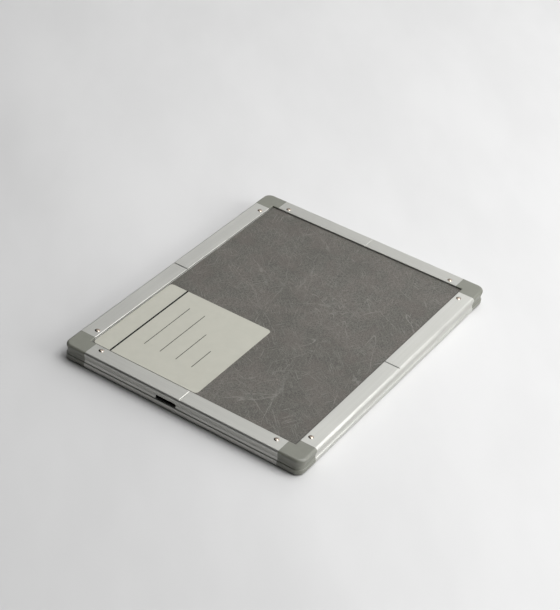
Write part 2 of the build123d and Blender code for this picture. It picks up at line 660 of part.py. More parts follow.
# ---- latches in the back rail of the latch end ----
def latch_bolt(side):
    """Flat steel bolt that slides along the latch rail, drawn back at rest."""
    way = SIDES[side]
    bolt_z = (BOLT_TOP - BOLT, BOLT_TOP)
    bolt = short_bar("latch", *SLIDE_INSETS, bolt_z, (way * BOLT_TAIL_Y, way * BOLT_TIP_Y))
    tip = bolt.faces().sort_by(Axis.Y)[-1 if way > 0 else 0]
    bolt = chamfer(tip.edges().filter_by(Axis.Z), BOLT_TIP_CHAMFER)
    pocket_y = (way * (SPRING_Y - SPRING_POCKET_LENGTH / 2), way * (SPRING_Y + SPRING_POCKET_LENGTH / 2))
    pocket = short_bar("latch", SPRING_SEAT, CHAMBER_INNER, bolt_z, pocket_y)
    return bolt - [pocket] - small_rivet_holes(thumb_rivet_places(side), bolt_z)


def thumb_rivet_places(side):
    """Centres of the rivets that join a thumb slide to its bolt."""
    x = CHAMBER_MIDDLE - LENGTH / 2
    return [(x, SIDES[side] * (THUMB_Y + way * THUMB_RIVET_SPACING / 2)) for way in (-1, 1)]


def thumb_slide(side):
    """Grooved plastic slide: a shoe on the floor of the hollow and a grip in the slot."""
    way = SIDES[side]
    shoe_z = (BACK_FLANGE + THUMB_FLOOR_GAP, BOLT_TOP - BOLT)
    groove_z = (THUMB_RECESS, THUMB_RECESS + THUMB_GROOVE_DEPTH)
    shoe_y = (way * (THUMB_Y - THUMB_SHOE_LENGTH / 2), way * (THUMB_Y + THUMB_SHOE_LENGTH / 2))
    grip_y = (way * (THUMB_Y - THUMB_LENGTH / 2), way * (THUMB_Y + THUMB_LENGTH / 2))
    grip_insets = (CHAMBER_MIDDLE - THUMB_WIDTH / 2, CHAMBER_MIDDLE + THUMB_WIDTH / 2)
    slide = short_bar("latch", *SLIDE_INSETS, shoe_z, shoe_y)
    slide += short_bar("latch", *grip_insets, (THUMB_RECESS, shoe_z[1]), grip_y)
    pitch = THUMB_LENGTH / (THUMB_GROOVES + 1)
    for index in range(THUMB_GROOVES):
        y = way * (THUMB_Y - THUMB_LENGTH / 2 + (index + 1) * pitch)
        groove_y = (y - THUMB_GROOVE_WIDTH / 2, y + THUMB_GROOVE_WIDTH / 2)
        slide -= short_bar("latch", *SLIDE_INSETS, groove_z, groove_y)
    rivet_z = (shoe_z[0] + THUMB_FLOOR_GAP, shoe_z[1])
    return slide - small_rivet_holes(thumb_rivet_places(side), rivet_z)


def thumb_rivets(side):
    """Flush rivets through the bolt and the shoe of the thumb slide."""
    return [disc(SMALL_RIVET_RADIUS, x, y, (BACK_FLANGE + 2 * THUMB_FLOOR_GAP, BOLT_TOP))
            for x, y in thumb_rivet_places(side)]


def friction_spring(side):
    """Bowed strip in the bolt's pocket; its crown rubs on the wall of the hollow."""
    seat_x = SPRING_SEAT - LENGTH / 2
    y = SIDES[side] * SPRING_Y
    half = SPRING_LENGTH / 2
    inner = ThreePointArc((seat_x, y - half), (seat_x + SPRING_BOW, y), (seat_x, y + half))
    outer = ThreePointArc((seat_x + SPRING_GAUGE, y - half), (seat_x + SPRING_BOW + SPRING_GAUGE, y),
                          (seat_x + SPRING_GAUGE, y + half))
    ends = [Line(inner @ t, outer @ t) for t in (0, 1)]
    strip = make_face([inner, outer] + ends)
    low = BOLT_TOP - BOLT / 2 - SPRING_HEIGHT / 2
    return extrude(Plane.XY.offset(low) * strip, SPRING_HEIGHT)


# ---- assembly ----
def build_nodes():
    """Every sub-part by its node name."""
    nodes = {}
    frame = front_frame()
    nodes.update(front_rails(frame))
    nodes.update(front_corners(frame))
    nodes["front_rivets"] = front_rivets()
    nodes.update(front_layers())
    nodes.update(light_seals())
    nodes["slot_liner"] = slot_liner()

    frame = back_frame()
    nodes.update(back_rails(frame))
    nodes.update(back_corners(frame))
    nodes["back_rivets"] = back_rivets()
    nodes.update(back_layers())

    for side in SIDES:
        nodes[f"keeper_{side}"] = keeper(side)
        nodes[f"hinge_leaf_front_{side}"] = hinge_leaf(side, 1)
        nodes[f"hinge_leaf_back_{side}"] = hinge_leaf(side, -1)
        nodes[f"hinge_pin_{side}"] = hinge_pin(side)
        nodes[f"latch_bolt_{side}"] = latch_bolt(side)
        nodes[f"thumb_slide_{side}"] = thumb_slide(side)
        nodes[f"thumb_rivets_{side}"] = thumb_rivets(side)
        nodes[f"friction_spring_{side}"] = friction_spring(side)
    keeper_places = [place for side in SIDES for place in keeper_rivet_places(side)]
    front_leaf_places = [place for side in SIDES for place in hinge_rivet_places(side, 1)]
    back_leaf_places = [place for side in SIDES for place in hinge_rivet_places(side, -1)]
    nodes["keeper_rivets"] = [tray_rivet(*place) for place in keeper_places]
    nodes["hinge_rivets_front"] = [tray_rivet(*place) for place in front_leaf_places]
    nodes["hinge_rivets_back"] = [cover_rivet(*place) for place in back_leaf_places]
    return nodes


def write_nodes(nodes):
    """One STEP file per node."""
    os.makedirs("parts", exist_ok=True)
    for name, shape in nodes.items():
        solids = shape if isinstance(shape, list) else [shape]
        solids = [solid for item in solids for solid in item.solids()]
        whole = solids[0] if len(solids) == 1 else Compound(children=solids)
        export_step(whole, f"parts/{name}.step")


write_nodes(build_nodes())
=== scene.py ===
"""Looks of a flat, hinged x-ray film cassette, dressed round its packed construction.

The cassette lies on its back, tube side up. Lengths are in metres, in the frame of the
construction: +X towards the hinge end, +Y towards the left side, +Z up.
"""

import json
import logging
import math
from dataclasses import dataclass
from enum import Enum

import bmesh
import bpy
from mathutils import Matrix, Quaternion, Vector, noise

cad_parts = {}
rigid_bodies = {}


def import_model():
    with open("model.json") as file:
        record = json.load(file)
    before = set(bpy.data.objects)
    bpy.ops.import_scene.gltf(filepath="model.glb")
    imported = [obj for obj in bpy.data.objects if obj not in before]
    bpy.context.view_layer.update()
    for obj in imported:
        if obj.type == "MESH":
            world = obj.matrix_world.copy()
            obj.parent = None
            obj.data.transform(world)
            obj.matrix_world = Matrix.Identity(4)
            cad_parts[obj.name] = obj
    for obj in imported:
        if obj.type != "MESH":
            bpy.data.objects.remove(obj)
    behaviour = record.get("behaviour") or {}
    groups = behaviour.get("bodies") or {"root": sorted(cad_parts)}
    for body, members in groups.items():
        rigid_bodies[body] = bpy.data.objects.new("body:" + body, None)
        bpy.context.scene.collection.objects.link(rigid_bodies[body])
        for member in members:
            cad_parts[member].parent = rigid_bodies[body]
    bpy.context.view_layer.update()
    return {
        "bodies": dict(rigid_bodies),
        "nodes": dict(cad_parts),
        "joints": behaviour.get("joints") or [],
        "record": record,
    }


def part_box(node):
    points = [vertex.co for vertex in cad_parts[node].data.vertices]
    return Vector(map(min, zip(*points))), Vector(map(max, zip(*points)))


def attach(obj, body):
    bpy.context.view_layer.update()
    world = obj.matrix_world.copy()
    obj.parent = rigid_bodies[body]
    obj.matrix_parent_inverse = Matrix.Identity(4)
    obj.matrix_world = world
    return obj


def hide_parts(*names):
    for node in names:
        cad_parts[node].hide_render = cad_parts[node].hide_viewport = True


LOG = logging.getLogger("cassette")
MM = 0.001
SIDES = ("left", "right")
ENDS = ("latch_end", "hinge_end")
MIX_FACTOR, MIX_FIRST, MIX_SECOND, MIX_RESULT = 0, 6, 7, 2  # sockets of a Mix node for colours


class Run(Enum):
    """Direction of a grain, as the turn about Z that lays it along X."""

    ALONG_X = 0.0
    ALONG_Y = math.pi / 2


class Facing(Enum):
    """Side of a panel that a covering lies on."""

    UP = 1
    DOWN = -1


def paint(code: str) -> tuple[float, float, float, float]:
    """Linear colour of a hexadecimal display colour.

    Args:
        code: six hexadecimal digits, two each for red, green and blue.

    Returns:
        Red, green, blue and a full alpha, in linear light.
    """
    parts = [int(code[start : start + 2], 16) / 255 for start in (0, 2, 4)]
    linear = [c / 12.92 if c <= 0.04045 else ((c + 0.055) / 1.055) ** 2.4 for c in parts]
    return (*linear, 1.0)


# ---------------------------------------------------------------- shader building


class Tree:
    """Short way to write the nodes of one shader tree."""

    def __init__(self, tree: bpy.types.NodeTree) -> None:
        """Keeps the tree that the nodes go into."""
        self.tree = tree

    def add(self, kind: str, inputs: dict | None = None, **settings) -> bpy.types.Node:
        """Adds one node.

        Args:
            kind: type of the node, without its leading ShaderNode.
            inputs: value or linked socket for each named or numbered input.
            **settings: properties of the node itself.

        Returns:
            The new node.
        """
        node = self.tree.nodes.new("ShaderNode" + kind)
        for name, value in settings.items():
            setattr(node, name, value)
        for key, value in (inputs or {}).items():
            if isinstance(value, bpy.types.NodeSocket):
                self.tree.links.new(value, node.inputs[key])
            else:
                node.inputs[key].default_value = value
        return node

    def calc(self, operation: str, *values) -> bpy.types.NodeSocket:
        """Result of a Math node on numbers or sockets."""
        return self.add("Math", dict(enumerate(values)), operation=operation).outputs[0]

    def times(self, first, second) -> bpy.types.NodeSocket:
        """Product of two numbers or sockets."""
        return self.calc("MULTIPLY", first, second)

    def plus(self, first, second) -> bpy.types.NodeSocket:
        """Sum of two numbers or sockets."""
        return self.calc("ADD", first, second)

    def along(self, vector, direction: tuple[float, float, float]) -> bpy.types.NodeSocket:
        """Distance along a direction."""
        return self.add("VectorMath", {0: vector, 1: direction}, operation="DOT_PRODUCT").outputs["Value"]

    def moved(self, vector, offset) -> bpy.types.NodeSocket:
        """Vector moved by an offset."""
        return self.add("VectorMath", {0: vector, 1: offset}, operation="ADD").outputs[0]

    def scaled(self, vector, factor: float) -> bpy.types.NodeSocket:
        """Vector times a factor."""
        return self.add("VectorMath", {0: vector, "Scale": factor}, operation="SCALE").outputs[0]

    def span(self, value, low: float, high: float, to_low=0.0, to_high=1.0) -> bpy.types.NodeSocket:
        """Value mapped from one range to another with soft ends."""
        inputs = {0: value, 1: low, 2: high, 3: to_low, 4: to_high}
        return self.add("MapRange", inputs, interpolation_type="SMOOTHSTEP").outputs[0]

    def blend(self, factor, first, second) -> bpy.types.NodeSocket:
        """Colour mixed from two colours."""
        inputs = {MIX_FACTOR: factor, MIX_FIRST: first, MIX_SECOND: second}
        return self.add("Mix", inputs, data_type="RGBA").outputs[MIX_RESULT]

    def noise(self, vector, scale, detail=2.0, roughness=0.5, output="Fac") -> bpy.types.NodeSocket:
        """Noise on a vector, scale in features a metre."""
        inputs = {"Vector": vector, "Scale": scale, "Detail": detail, "Roughness": roughness}
        return self.add("TexNoise", inputs).outputs[output]

    def ridges(self, field, thickness: float, peak: float = 1.0) -> bpy.types.NodeSocket:
        """Thin lines where a field from 0 to 1 passes its middle value."""
        distance = self.calc("ABSOLUTE", self.calc("SUBTRACT", field, 0.5))
        return self.span(distance, 0.0, thickness, peak, 0.0)

    def stretched(self, vector, scale: tuple[float, float, float], turn: float) -> bpy.types.NodeSocket:
        """Vector scaled differently along its axes, after a turn about Z."""
        turned = self.add("Mapping", {"Vector": vector, "Rotation": (0.0, 0.0, turn)}).outputs[0]
        return self.add("Mapping", {"Vector": turned, "Scale": scale}).outputs[0]


@dataclass(frozen=True)
class Effect:
    """A shader node group shared by several finishes."""

    name: str
    inputs: tuple[tuple[str, float], ...]
    outputs: tuple[str, ...]

    def group(self) -> bpy.types.NodeTree:
        """The group, built on first use."""
        found = bpy.data.node_groups.get(self.name)
        if found is not None:
            return found
        group = bpy.data.node_groups.new(self.name, "ShaderNodeTree")
        group.interface.new_socket("Vector", in_out="INPUT", socket_type="NodeSocketVector")
        for label, default in self.inputs:
            socket = group.interface.new_socket(label, in_out="INPUT", socket_type="NodeSocketFloat")
            socket.default_value = default
        for label in self.outputs:
            group.interface.new_socket(label, in_out="OUTPUT", socket_type="NodeSocketFloat")
        tree = Tree(group)
        entry = group.nodes.new("NodeGroupInput")
        leave = group.nodes.new("NodeGroupOutput")
        for label, socket in self.body(tree, entry.outputs).items():
            group.links.new(socket, leave.inputs[label])
        return group

    def body(self, tree: Tree, inputs) -> dict[str, bpy.types.NodeSocket]:
        """Nodes of the effect; each effect writes its own."""
        raise NotImplementedError

    def place(self, tree: Tree, vector, **values: float) -> bpy.types.Node:
        """Puts the group in a material.

        Args:
            tree: tree of the material.
            vector: coordinates that the effect reads.
            **values: values of the group's inputs, by name in lower case.

        Returns:
            The group node.
        """
        node = tree.add("Group", node_tree=self.group())
        tree.tree.links.new(vector, node.inputs["Vector"])
        for label, value in values.items():
            node.inputs[label.capitalize()].default_value = value
        return node


@dataclass(frozen=True)
class DrawnGrain(Effect):
    """Fine lines that a drawn or brushed metal has along its length."""

    name: str = "drawn_grain"
    inputs: tuple[tuple[str, float], ...] = (("Fineness", 6000.0), ("Turn", 0.0))
    outputs: tuple[str, ...] = ("Tone", "Height")
    line_stretch: float = 0.006
    band_stretch: float = 0.03
    bands: float = 380.0
    line_share: float = 0.6

    def body(self, tree: Tree, inputs) -> dict[str, bpy.types.NodeSocket]:
        """Two layers of noise stretched along the run."""
        turn = tree.add("CombineXYZ", {"Z": inputs["Turn"]}).outputs[0]
        laid = tree.add("Mapping", {"Vector": inputs["Vector"], "Rotation": turn}).outputs[0]
        fine = tree.add("Mapping", {"Vector": laid, "Scale": (self.line_stretch, 1.0, 1.0)}).outputs[0]
        broad = tree.add("Mapping", {"Vector": laid, "Scale": (self.band_stretch, 1.0, 1.0)}).outputs[0]
        lines = tree.noise(fine, inputs["Fineness"], detail=3.0)
        bands = tree.noise(broad, self.bands)
        tone = tree.plus(tree.times(lines, self.line_share), tree.times(bands, 1 - self.line_share))
        return {"Tone": tone, "Height": lines}


@dataclass(frozen=True)
class Handling(Effect):
    """Smudges and short fine scratches from use."""

    name: str = "handling"
    inputs: tuple[tuple[str, float], ...] = (("Patch", 28.0), ("Scratch", 260.0))
    outputs: tuple[str, ...] = ("Smudge", "Scratches")
    smudged: tuple[float, float] = (0.42, 0.68)
    stretch: float = 0.12
    turn: float = 0.5
    thickness: float = 0.006
    places: float = 55.0
    scratched: tuple[float, float] = (0.58, 0.66)

    def body(self, tree: Tree, inputs) -> dict[str, bpy.types.NodeSocket]:
        """Broad noise for the smudges, thin ridges of a stretched noise for the scratches."""
        vector = inputs["Vector"]
        smudge = tree.span(tree.noise(vector, inputs["Patch"], detail=4.0), *self.smudged)
        long_way = tree.stretched(vector, (self.stretch, 1.0, 1.0), self.turn)
        lines = tree.ridges(tree.noise(long_way, inputs["Scratch"], detail=1.0), self.thickness)
        rare = tree.span(tree.noise(vector, self.places, detail=1.0), *self.scratched)
        return {"Smudge": smudge, "Scratches": tree.times(lines, rare)}


@dataclass(frozen=True)
class MouldedSkin(Effect):
    """Fine matt grain of a moulded part."""

    name: str = "moulded_skin"
    inputs: tuple[tuple[str, float], ...] = (("Fineness", 2600.0),)
    outputs: tuple[str, ...] = ("Tone", "Height")
    clouds: float = 120.0
    cloud_share: float = 0.65

    def body(self, tree: Tree, inputs) -> dict[str, bpy.types.NodeSocket]:
        """Small pits over a cloudy tone."""
        vector = inputs["Vector"]
        pits = tree.add("TexVoronoi", {"Vector": vector, "Scale": inputs["Fineness"]}, feature="SMOOTH_F1")
        cloud = tree.noise(vector, self.clouds, detail=4.0, roughness=0.6)
        speck = tree.noise(vector, inputs["Fineness"])
        tone = tree.plus(tree.times(cloud, self.cloud_share), tree.times(speck, 1 - self.cloud_share))
        return {"Tone": tone, "Height": pits.outputs["Distance"]}


@dataclass(frozen=True)
class LeatherGrain(Effect):
    """Pebbles, tufts of hair-thin creases and a few longer folds of embossed leathercloth."""

    name: str = "leather_grain"
    inputs: tuple[tuple[str, float], ...] = (
        ("Pebble", 1250.0), ("Hair", 1150.0), ("Fold", 30.0), ("Crackle", 380.0))
    outputs: tuple[str, ...] = ("Tone", "Creases", "Height", "Warmth")
    warp: float = 60.0
    bend: float = 1.8 * MM
    sway: float = 5.5 * MM
    fold_turns: tuple[float, ...] = (-0.95, -0.3, 0.75)
    fold_stretch: float = 0.16
    fold_thickness: float = 0.0045
    fold_peak: float = 0.95
    fold_breaks: tuple[float, float, float] = (240.0, 0.32, 0.5)
    fold_places: tuple[float, float, float] = (34.0, 0.44, 0.56)
    hair_turns: tuple[float, ...] = (-0.78, -1.25, -0.3, 0.55)
    hair_stretch: float = 0.045
    hair_range: tuple[float, float] = (0.56, 0.68)
    hair_places: tuple[float, float, float] = (60.0, 0.38, 0.68)
    hair_share: float = 0.85
    net_thickness: float = 0.1
    net_peak: float = 0.62
    net_places: tuple[float, float, float] = (26.0, 0.3, 0.72)
    specks: float = 1350.0
    clouds: float = 55.0
    speck_share: float = 0.88
    pebble_rise: float = 2.2
    pebble_top: float = 0.6
    speck_height: float = 0.5
    crease_height: float = 0.6
    warm_places: tuple[float, float, float] = (62.0, 0.4, 0.62)

    def body(self, tree: Tree, inputs) -> dict[str, bpy.types.NodeSocket]:
        """Pebbles under a net of crackle, tufts of hair creases in several directions, and folds."""
        vector = inputs["Vector"]
        push = tree.noise(vector, self.warp, detail=4.0, roughness=0.6, output="Color")
        centred = tree.add("VectorMath", {0: push, 1: (0.5, 0.5, 0.5)}, operation="SUBTRACT").outputs[0]
        bent = tree.moved(vector, tree.scaled(centred, self.bend))
        crooked = tree.moved(vector, tree.scaled(centred, self.sway))
        creases = self.crackle(tree, bent, inputs["Crackle"])
        for turn in self.fold_turns:
            creases = tree.calc("MAXIMUM", creases, self.folds(tree, crooked, inputs["Fold"], turn))
        for turn in self.hair_turns:
            creases = tree.calc("MAXIMUM", creases, self.tufts(tree, bent, inputs["Hair"], turn))
        speck = tree.noise(bent, self.specks, roughness=0.6)
        cloud = tree.noise(vector, self.clouds, detail=5.0, roughness=0.7)
        tone = tree.plus(tree.times(speck, self.speck_share), tree.times(cloud, 1 - self.speck_share))
        raised = tree.times(self.cell_edges(tree, bent, inputs["Pebble"]), self.pebble_rise)
        raised = tree.calc("MINIMUM", raised, self.pebble_top)
        height = tree.plus(raised, tree.times(speck, self.speck_height))
        height = tree.plus(height, tree.times(creases, self.crease_height))
        warmth = self.patches(tree, vector, self.warm_places)
        return {"Tone": tone, "Creases": creases, "Height": height, "Warmth": warmth}

    @staticmethod
    def cell_edges(tree: Tree, vector, scale) -> bpy.types.NodeSocket:
        """Distance to the edges of small cells."""
        cells = tree.add("TexVoronoi", {"Vector": vector, "Scale": scale}, feature="DISTANCE_TO_EDGE")
        return cells.outputs["Distance"]

    @staticmethod
    def patches(tree: Tree, vector, places: tuple[float, float, float], **look: float):
        """Soft patches.

        Args:
            tree: tree of the group.
            vector: coordinates that the patches lie in.
            places: patches a metre, and the noise values where a patch begins and where it is full.
            **look: detail and roughness of the noise.

        Returns:
            A socket from 0 outside the patches to 1 in them.
        """
        scale, begin, full = places
        return tree.span(tree.noise(vector, scale, **look), begin, full)

    def tufts(self, tree: Tree, vector, fineness, turn: float) -> bpy.types.NodeSocket:
        """Short fine lines along one direction, grouped in patches."""
        laid = tree.stretched(vector, (self.hair_stretch, 1.0, 1.0), turn)
        lines = tree.span(tree.noise(laid, fineness, roughness=0.6), *self.hair_range)
        beside = tree.moved(vector, (turn, 0.3, turn))
        patch = self.patches(tree, beside, self.hair_places, detail=4.0, roughness=0.62)
        return tree.times(lines, tree.times(patch, self.hair_share))

    def crackle(self, tree: Tree, vector, scale) -> bpy.types.NodeSocket:
        """Net of thin lines round small cells, stronger in patches."""
        net = tree.span(self.cell_edges(tree, vector, scale), 0.0, self.net_thickness, self.net_peak, 0.0)
        return tree.times(net, self.patches(tree, vector, self.net_places, detail=3.0))

    def folds(self, tree: Tree, vector, scale, turn: float) -> bpy.types.NodeSocket:
        """Thin winding lines of a stretched noise, broken up along the way."""
        laid = tree.stretched(vector, (self.fold_stretch, 1.0, 1.0), turn)
        field = tree.noise(laid, scale, roughness=0.4)
        line = tree.ridges(field, self.fold_thickness, self.fold_peak)
        broken = self.patches(tree, vector, self.fold_breaks)
        return tree.times(line, tree.times(broken, self.patches(tree, laid, self.fold_places)))


DRAWN_GRAIN = DrawnGrain()
HANDLING = Handling()
MOULDED_SKIN = MouldedSkin()
LEATHER_GRAIN = LeatherGrain()


# ---------------------------------------------------------------- finishes


TONE_RANGE = (0.3, 0.7)  # noise values that stand for the dark and the light end of a tone


@dataclass
class Surface:
    """What a finish gives the shader: sockets that change over the surface."""

    color: bpy.types.NodeSocket
    roughness: bpy.types.NodeSocket
    height: bpy.types.NodeSocket
    relief: float


@dataclass(frozen=True)
class Finish:
    """A named material with one Principled shader; constants go on the shader's own sockets."""

    name: str
    color: str
    roughness: float
    metallic: float = 0.0
    specular: float = 0.5
    sheen: float = 0.0
    fineness: float = 2600.0
    relief: float = 0.01 * MM
    run: Run = Run.ALONG_X

    def material(self) -> bpy.types.Material:
        """The material, built on first use."""
        found = bpy.data.materials.get(self.name)
        if found is not None:
            return found
        made = bpy.data.materials.new(self.name)
        made.use_nodes = True
        made.node_tree.nodes.clear()
        tree = Tree(made.node_tree)
        coords = tree.add("TexCoord").outputs["Object"]
        surface = self.surface(tree, coords)
        normal = tree.add("Bump", {"Height": surface.height, "Distance": surface.relief}).outputs[0]
        shader = tree.add("BsdfPrincipled", {
            "Base Color": surface.color, "Roughness": surface.roughness, "Metallic": self.metallic,
            "Normal": normal, "Specular IOR Level": self.specular, "Sheen Weight": self.sheen})
        tree.add("OutputMaterial", {"Surface": shader.outputs[0]})
        made.diffuse_color = paint(self.color)
        return made

    def surface(self, tree: Tree, coords) -> Surface:
        """Colour, roughness and relief of the surface; each kind of finish writes its own."""
        raise NotImplementedError

    def lit(self, factor: float) -> tuple[float, float, float, float]:
        """The finish's colour made lighter or darker by a factor."""
        return (*[min(1.0, part * factor) for part in paint(self.color)[:3]], 1.0)

    def toned(self, tree: Tree, tone, depth: float) -> bpy.types.NodeSocket:
        """Base colour darkened and lightened by a tone from 0 to 1.

        Args:
            tree: tree of the material.
            tone: socket from 0 to 1.
            depth: share by which the colour changes either way.

        Returns:
            The colour socket.
        """
        return tree.blend(tree.span(tone, *TONE_RANGE), self.lit(1 - depth), self.lit(1 + depth))


@dataclass(frozen=True)
class DrawnMetal(Finish):
    """Extruded, rolled or drawn metal, with its grain along one direction."""

    depth: float = 0.035
    smudge: float = 0.06
    grain_matt: float = 0.06
    scratch_light: float = 1.18
    scratch_share: float = 0.35
    scratch_depth: float = 0.8

    def surface(self, tree: Tree, coords) -> Surface:
        """Grain lines, smudges and a few scratches."""
        grain = DRAWN_GRAIN.place(tree, coords, fineness=self.fineness, turn=self.run.value)
        worn = HANDLING.place(tree, coords)
        scratches = worn.outputs["Scratches"]
        color = self.toned(tree, grain.outputs["Tone"], self.depth)
        color = tree.blend(tree.times(scratches, self.scratch_share), color, self.lit(self.scratch_light))
        rough = tree.plus(self.roughness, tree.times(worn.outputs["Smudge"], self.smudge))
        rough = tree.plus(rough, tree.times(grain.outputs["Tone"], self.grain_matt))
        height = tree.calc("SUBTRACT", grain.outputs["Height"], tree.times(scratches, self.scratch_depth))
        return Surface(color, rough, height, self.relief)


@dataclass(frozen=True)
class Moulded(Finish):
    """Moulded plastic, film, ink or paint with a fine skin."""

    depth: float = 0.05
    smudge: float = -0.07
    scuff: float = 0.15

    def surface(self, tree: Tree, coords) -> Surface:
        """Matt grain with a cloudy tone, shinier where it was touched and duller where scratched."""
        skin = MOULDED_SKIN.place(tree, coords, fineness=self.fineness)
        worn = HANDLING.place(tree, coords)
        color = self.toned(tree, skin.outputs["Tone"], self.depth)
        rough = tree.plus(self.roughness, tree.times(worn.outputs["Smudge"], self.smudge))
        rough = tree.plus(rough, tree.times(worn.outputs["Scratches"], self.scuff))
        return Surface(color, rough, skin.outputs["Height"], self.relief)


@dataclass(frozen=True)
class Leathercloth(Finish):
    """Embossed vinyl on cloth, with pale creases and slightly warmer patches."""

    crease: str = "8e8d87"
    warm: str = "5d544f"
    depth: float = 0.47
    crease_share: float = 0.46
    warm_share: float = 0.3
    tone_matt: float = 0.1

    def surface(self, tree: Tree, coords) -> Surface:
        """Speckled grain with lighter crease lines."""
        grain = LEATHER_GRAIN.place(tree, coords)
        color = self.toned(tree, grain.outputs["Tone"], self.depth)
        color = tree.blend(tree.times(grain.outputs["Warmth"], self.warm_share), color, paint(self.warm))
        color = tree.blend(tree.times(grain.outputs["Creases"], self.crease_share), color, paint(self.crease))
        rough = tree.plus(self.roughness, tree.times(grain.outputs["Tone"], self.tone_matt))
        return Surface(color, rough, grain.outputs["Height"], self.relief)


@dataclass(frozen=True)
class Fibrous(Finish):
    """Felt or open-cell foam: a soft surface broken up by small cells or fibres."""

    depth: float = 0.35
    cell_share: float = 0.6
    tone_matt: float = 0.05

    def surface(self, tree: Tree, coords) -> Surface:
        """Tangled noise at the size of the fibres or cells."""
        tangle = tree.noise(coords, self.fineness, detail=5.0, roughness=0.7)
        cells = tree.add("TexVoronoi", {"Vector": coords, "Scale": self.fineness * self.cell_share})
        color = self.toned(tree, tangle, self.depth)
        rough = tree.plus(self.roughness, tree.times(tangle, self.tone_matt))
        return Surface(color, rough, tree.plus(tangle, cells.outputs["Distance"]), self.relief)


@dataclass(frozen=True)
class Backdrop(Finish):
    """Matt backdrop with faint long waves in its tone, and painted shade making one side a little darker."""

    depth: float = 0.026
    waves: float = 11.0
    wave_stretch: tuple[float, float, float] = (1.0, 0.4, 1.0)
    wave_turn: float = 0.9
    tooth_matt: float = 0.05
    painted_shade_side: tuple[float, float, float] = (-0.832, 0.555, 0.0)
    painted_shade_from: float = 0.04
    painted_shade_to: float = 0.15
    painted_shade_strength: float = 0.07

    def surface(self, tree: Tree, coords) -> Surface:
        """Broad soft waves of tone over a fine tooth, with painted shade darkening it beyond the latch end
        and the left side.
        """
        laid = tree.stretched(coords, self.wave_stretch, self.wave_turn)
        waves = tree.noise(laid, self.waves, detail=3.0, roughness=0.6)
        tooth = tree.noise(coords, self.fineness)
        rough = tree.plus(self.roughness, tree.times(tooth, self.tooth_matt))
        # painted shade: the floor's colour darkens towards the left side and the latch end, where less lamp
        # light falls
        painted_shade = tree.span(tree.along(coords, self.painted_shade_side), self.painted_shade_from, self.painted_shade_to)
        color = self.toned(tree, waves, self.depth)
        color = tree.blend(tree.times(painted_shade, self.painted_shade_strength), color, paint("000000"))
        return Surface(color, rough, tooth, self.relief)


FINISHES: dict[str, Finish] = {
    # painted light: rail_x has a lighter colour than rail_y, though both are the same aluminium; the
    # difference stands for the brighter reflection of the rails along X
    "rail_x": DrawnMetal("rail_along_x", "c9c9c4", 0.36, 1.0, relief=0.004 * MM),
    "rail_y": DrawnMetal("rail_along_y", "bdbdb8", 0.42, 1.0, relief=0.004 * MM, run=Run.ALONG_Y),
    "corner_plastic": Moulded("corner_moulding", "6f7066", 0.44, specular=0.85, relief=0.012 * MM),
    "rivet_steel": DrawnMetal("rivet_head", "a1968b", 0.08, 1.0, relief=0.001 * MM),
    "grained_covering": Leathercloth("covering_cloth", "4e4c46", 0.5, relief=0.05 * MM),
    "label_film": Moulded("label_face", "b0afa4", 0.42, relief=0.004 * MM, depth=0.03),
    "label_ink": Moulded("printed_line", "0d0d0c", 0.6, specular=0.15, relief=0.0005 * MM),
    "lead": DrawnMetal("lead_sheet", "6d7074", 0.62, 0.6, depth=0.1, relief=0.02 * MM),
    "panel_aluminium": DrawnMetal("mill_sheet", "b9b9b7", 0.38, 1.0, relief=0.004 * MM),
    "screen_coating": Moulded("screen_face", "eceade", 0.38, relief=0.003 * MM, depth=0.02),
    "foam": Fibrous("pressure_foam", "1c1c1b", 0.85, sheen=0.2, fineness=1400.0, relief=0.25 * MM),
    "felt": Fibrous("seal_felt", "151413", 0.9, sheen=0.5, fineness=3200.0, relief=0.15 * MM),
    "black_plastic": Moulded("slot_lining", "0a0a0a", 0.6, specular=0.2, relief=0.01 * MM),
    "thumb_plastic": Moulded("thumb_grip", "2c2c2b", 0.48, relief=0.02 * MM),
    "hinge_steel": DrawnMetal("hinge_plating", "b5b4b0", 0.3, 1.0, relief=0.004 * MM, run=Run.ALONG_Y),
    "latch_steel": DrawnMetal("latch_plating", "a9a9a8", 0.32, 1.0, relief=0.004 * MM, run=Run.ALONG_Y),
    "floor": Backdrop("studio_floor", "d2d2d2", 0.75, fineness=400.0, relief=0.02 * MM),
}


# ---------------------------------------------------------------- construction


@dataclass
class Hardware:
    """The rigid parts of the construction, which keep their shape and get their finish."""

    frame: dict

    def finish_of(self, part: str, slot: str) -> Finish:
        """Finish of one part.

        Args:
            part: name of the part.
            slot: material slot that the record gives it.

        Returns:
            The finish, with the rails' grain along their length.
        """
        if slot != "rail_aluminium":
            return FINISHES[slot]
        return FINISHES["rail_x"] if part.endswith(SIDES) else FINISHES["rail_y"]

    def dress(self) -> None:
        """Gives every part of the construction its material."""
        slots = {row["node"]: row["material_slot"] for row in self.frame["record"]["subparts"]}
        for part, piece in self.frame["nodes"].items():
            finish = self.finish_of(part, slots[part])
            piece.data.materials.clear()
            piece.data.materials.append(finish.material())
            LOG.info("%s: %s", part, finish.name)


# ---------------------------------------------------------------- soft pieces


